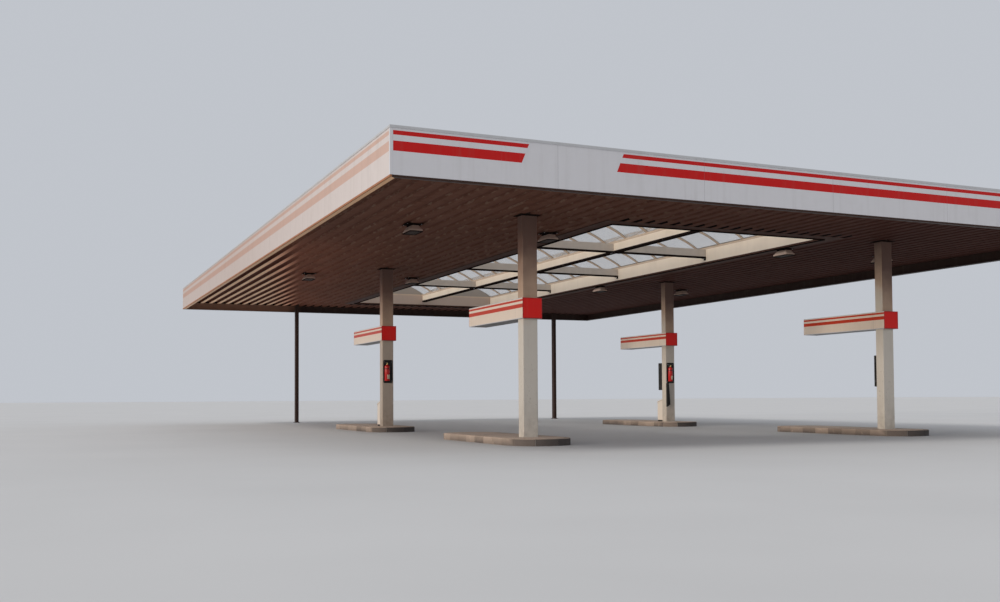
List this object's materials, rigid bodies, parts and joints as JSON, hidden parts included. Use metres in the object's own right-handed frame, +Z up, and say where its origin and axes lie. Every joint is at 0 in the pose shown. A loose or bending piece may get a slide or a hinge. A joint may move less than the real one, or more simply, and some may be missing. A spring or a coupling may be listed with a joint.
{
  "type": "filling station canopy",
  "caption": "Flat filling station canopy with a deep banded fascia, dark sheet soffit and a vaulted rooflight, on columns with islands.",
  "frame": {"origin": "on the ground, under the middle of the roof's outline", "axes": "+X along the front to the right, +Y from the front to the rear, +Z up"},
  "size_m": [18.6, 27.2, 5.86],
  "materials": {
    "concrete_island": "cast concrete with a rough matt surface",
    "cream_paint": "satin paint over steel",
    "sign_panel": "white lit panel with red bands, satin",
    "extinguisher": "gloss red paint",
    "dark_box": "matt black moulding",
    "white_box": "satin powder coat",
    "girder_steel": "grey primer",
    "soffit_sheet": "dark brown coil coat, satin",
    "deck_sheet": "weathered zinc coating",
    "fascia_panel": "white coil coat with two red bands, satin",
    "white_paint": "satin paint over steel",
    "white_rail": "white coated aluminium",
    "vault_sheet": "translucent ribbed sheet",
    "lamp_body": "grey white enamel"
  },
  "bodies": {
    "root": {"island_front_left": "concrete_island", "island_front_right": "concrete_island", "island_middle_left": "concrete_island", "island_middle_right": "concrete_island", "column_front_left": "cream_paint", "column_front_right": "cream_paint", "column_middle_left": "cream_paint", "column_middle_right": "cream_paint", "rear_post_left": "cream_paint", "rear_post_right": "cream_paint", "sign_box_front_left": "sign_panel", "sign_box_front_right": "sign_panel", "sign_box_middle_left": "sign_panel", "sign_box_middle_right": "sign_panel", "extinguisher_left": "extinguisher", "extinguisher_right": "extinguisher", "wall_box_front": "dark_box", "wall_box_middle": "dark_box", "foot_box_left": "white_box", "foot_box_right": "white_box", "girder_left": "girder_steel", "girder_right": "girder_steel", "rear_beam": "girder_steel", "soffit_front": "soffit_sheet", "soffit_rear": "soffit_sheet", "soffit_left": "soffit_sheet", "soffit_right": "soffit_sheet", "roof_deck": "deck_sheet", "fascia_front": "fascia_panel", "fascia_rear": "fascia_panel", "fascia_left": "fascia_panel", "fascia_right": "fascia_panel", "kerb": "white_paint", "middle_beam": "white_paint", "cross_beam_front": "white_paint", "cross_beam_middle": "white_paint", "cross_beam_rear": "white_paint", "sill_rails": "white_rail", "vault_ribs_left": "white_rail", "vault_ribs_right": "white_rail", "vault_glazing_left": "vault_sheet", "vault_glazing_right": "vault_sheet", "lamps_front_left": "lamp_body", "lamps_front_right": "lamp_body", "lamps_middle_left": "lamp_body", "lamps_middle_right": "lamp_body"}
  },
  "joints": []
}
